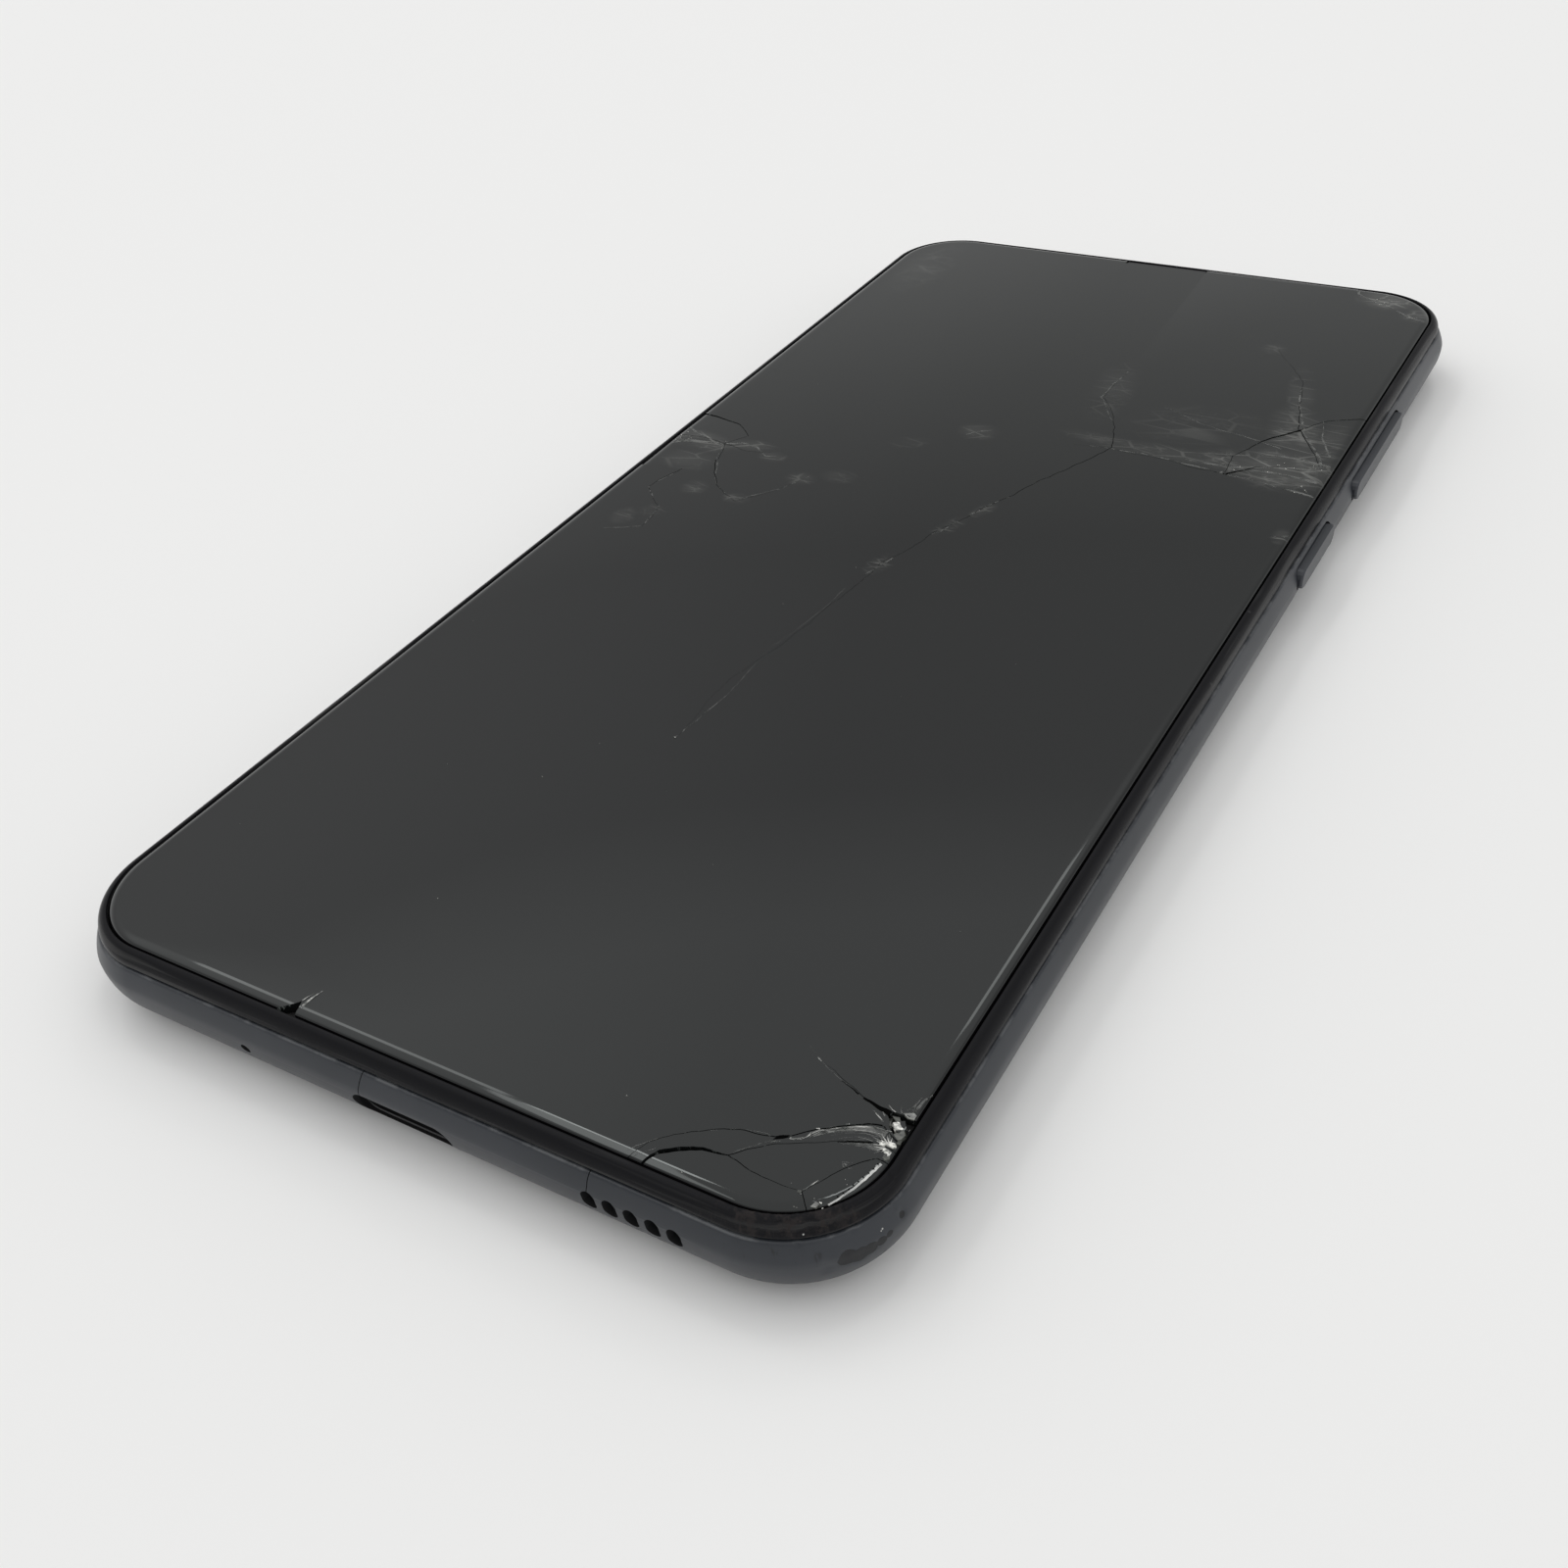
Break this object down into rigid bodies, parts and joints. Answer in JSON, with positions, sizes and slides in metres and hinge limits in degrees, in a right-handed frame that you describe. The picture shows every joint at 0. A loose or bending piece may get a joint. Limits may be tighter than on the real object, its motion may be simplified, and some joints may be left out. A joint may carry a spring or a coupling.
{
  "type": "smartphone with shattered screen",
  "caption": "Slab phone lying on its back, its screen glass cracked and splintered at the corners and sides, with working side keys and a card tray.",
  "frame": {"origin": "middle of the flat back, on the surface that the phone lies on", "axes": "+Y towards the earpiece end along the length, +Z out of the screen, +X towards the side keys"},
  "size_m": [0.0744, 0.1596, 0.0084],
  "materials": {
    "painted_shell": "dark blue-grey satin paint on moulded plastic, scuffed and chipped at one corner",
    "gloss_frame": "glossy black, scuffed at one corner",
    "cover_glass": "polished glass over a black printed border, cracked and splintered",
    "display": "black, switched off",
    "foam_tape": "black closed-cell foam",
    "battery_foil": "dark grey pouch foil",
    "circuit_board": "green solder mask",
    "steel_part": "bright stamped steel",
    "dark_plastic": "fine matt moulding",
    "dust_mesh": "black woven mesh",
    "camera_glass": "black-backed polished glass",
    "flash_diffuser": "pale frosted lens",
    "ribbon_film": "amber polyimide film"
  },
  "bodies": {
    "phone": {"antenna_bracket": "dark_plastic", "battery": "battery_foil", "camera_bezel": "steel_part", "camera_window": "camera_glass", "charging_board": "circuit_board", "corner_arc_shard": "cover_glass", "corner_edge_shard": "cover_glass", "corner_inner_shard": "cover_glass", "corner_low_shard": "cover_glass", "corner_splinter": "cover_glass", "cover_glass": "cover_glass", "display_flex": "ribbon_film", "display_panel": "display", "flash_lens": "flash_diffuser", "front_camera": "dark_plastic", "left_high_shard": "cover_glass", "left_low_shard": "cover_glass", "main_board": "circuit_board", "main_camera": "dark_plastic", "main_flex": "ribbon_film", "microphone": "steel_part", "mid_frame": "gloss_frame", "processor_shield": "steel_part", "radio_shield": "steel_part", "rear_cover": "painted_shell", "receiver": "dark_plastic", "receiver_mesh": "dust_mesh", "right_high_shard": "cover_glass", "right_low_shard": "cover_glass", "right_middle_shard": "cover_glass", "screen_tape": "foam_tape", "screw_1": "steel_part", "screw_2": "steel_part", "screw_3": "steel_part", "screw_4": "steel_part", "screw_5": "steel_part", "screw_6": "steel_part", "screw_7": "steel_part", "screw_8": "steel_part", "side_key_flex": "ribbon_film", "sim_reader": "steel_part", "speaker_box": "dark_plastic", "speaker_mesh": "dust_mesh", "top_corner_shard": "cover_glass", "usb_socket": "steel_part", "usb_tongue": "dark_plastic", "vibration_motor": "steel_part", "wide_camera": "dark_plastic"},
    "power_key": {"power_key": "painted_shell"},
    "volume_rocker": {"volume_rocker": "painted_shell"},
    "sim_tray": {"sim_tray": "painted_shell"}
  },
  "joints": [
    {"name": "power_key_press", "type": "slide", "parent": "phone", "child": "power_key", "axis": [-1, 0, 0], "range_m": [0, 0.00025], "stiffness_N_per_m": 8000},
    {"name": "volume_rocker_tilt", "type": "hinge", "parent": "phone", "child": "volume_rocker", "pos_m": [0.0357, 0.0417, 0.005], "axis": [0, 0, 1], "range_deg": [-1, 1], "stiffness_Nm_per_rad": 0.7},
    {"name": "sim_tray_slide", "type": "slide", "parent": "phone", "child": "sim_tray", "axis": [-1, 0, 0], "range_m": [0, 0.03]}
  ]
}
